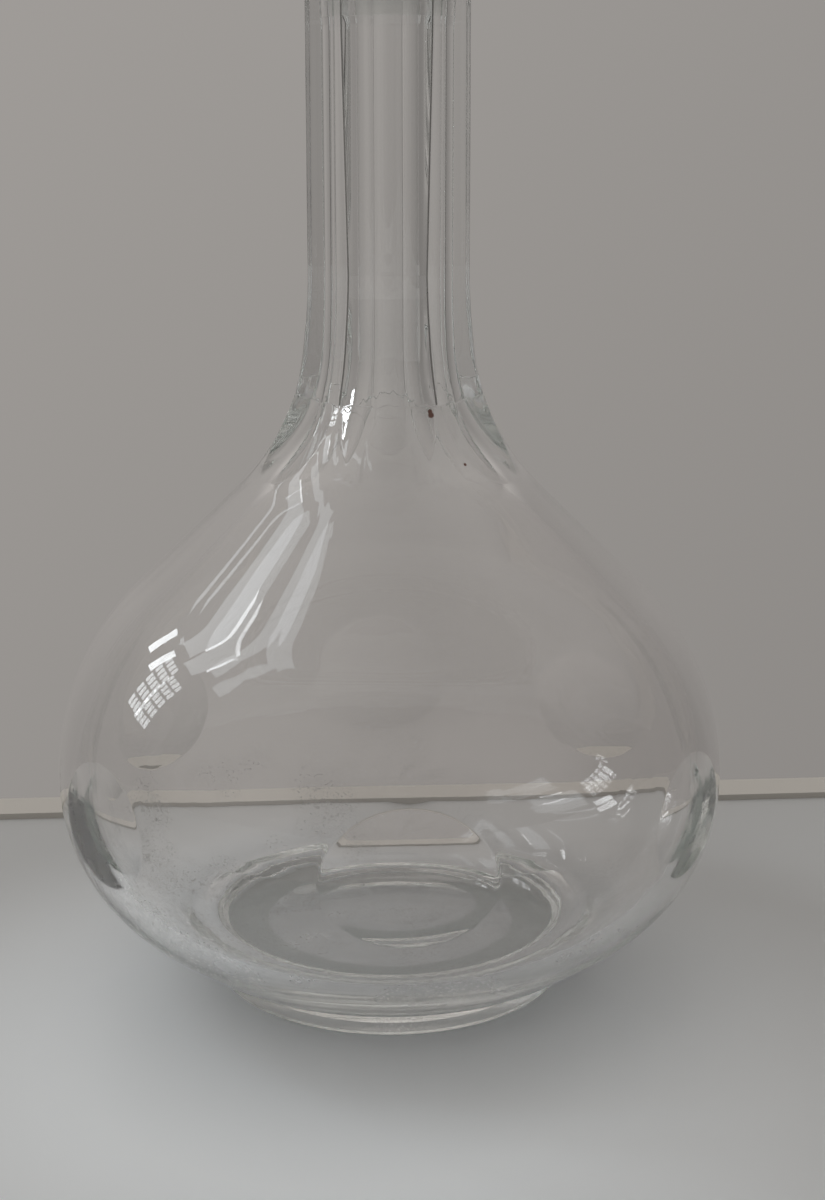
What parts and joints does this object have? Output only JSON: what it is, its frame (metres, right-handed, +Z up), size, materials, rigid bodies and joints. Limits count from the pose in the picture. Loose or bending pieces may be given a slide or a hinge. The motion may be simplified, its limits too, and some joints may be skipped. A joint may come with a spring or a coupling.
{
  "type": "stoppered glass flask",
  "caption": "Squat clear glass flask on a short foot, with a long six-sided neck, oval cuts round its belt and a ground glass stopper that lifts out.",
  "frame": {"origin": "middle of the ring that the foot rests on", "axes": "+Z up along the neck, one flat of the six-sided neck faces -Y and one faces +Y, so its edges point along X"},
  "size_m": [0.141, 0.1386, 0.272],
  "materials": {
    "flask_glass": "clear polished glass with a faint grey-green tint, ground inside the mouth",
    "stopper_glass": "clear polished glass with a finely ground plug"
  },
  "bodies": {
    "flask": {"flask_body": "flask_glass"},
    "stopper": {"stopper": "stopper_glass"}
  },
  "joints": [
    {"name": "stopper_lift", "type": "slide", "parent": "flask", "child": "stopper", "axis": [0, 0, 1], "range_m": [0, 0.036]}
  ]
}
